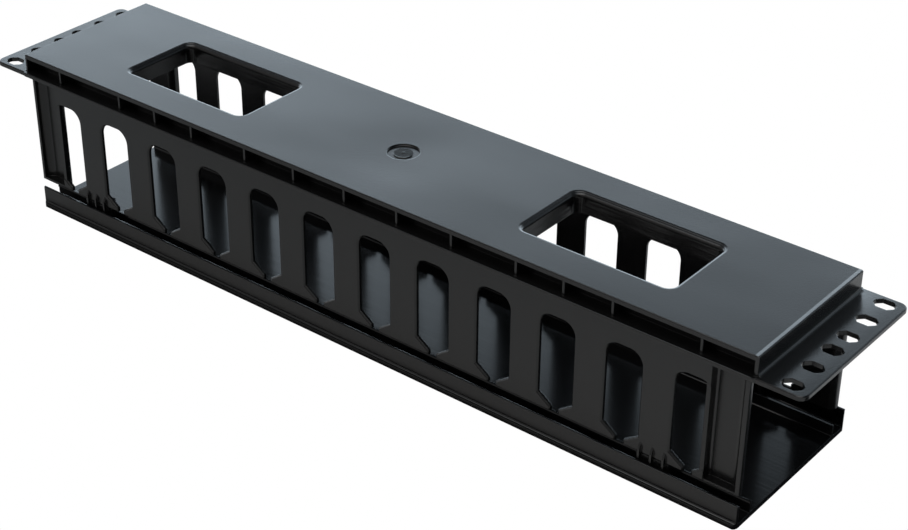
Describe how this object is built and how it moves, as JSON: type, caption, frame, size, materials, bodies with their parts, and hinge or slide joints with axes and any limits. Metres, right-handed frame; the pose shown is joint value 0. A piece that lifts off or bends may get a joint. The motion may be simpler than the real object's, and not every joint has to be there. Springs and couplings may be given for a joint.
{
  "type": "horizontal cable manager",
  "caption": "Black plastic rack cable manager: slotted finger duct with windowed back plate, slotted ears and a clip-on channel cover.",
  "frame": {"origin": "under the middle of the duct body, on the plane of the cover's outer face", "axes": "+X along the rack's width, +Z from the cover to the back plate, +Y across the panel's height"},
  "size_m": [0.4826, 0.0938, 0.0855],
  "materials": {
    "body_plastic": "fine satin texture, black",
    "cover_plastic": "smooth semi-gloss extrusion, black"
  },
  "bodies": {
    "cover_body": {"cover": "cover_plastic"},
    "duct": {"duct_body": "body_plastic"}
  },
  "joints": [
    {"name": "cover_release", "type": "slide", "parent": "cover_body", "child": "duct", "axis": [0, 0, 1], "range_m": [0, 0.03]}
  ]
}
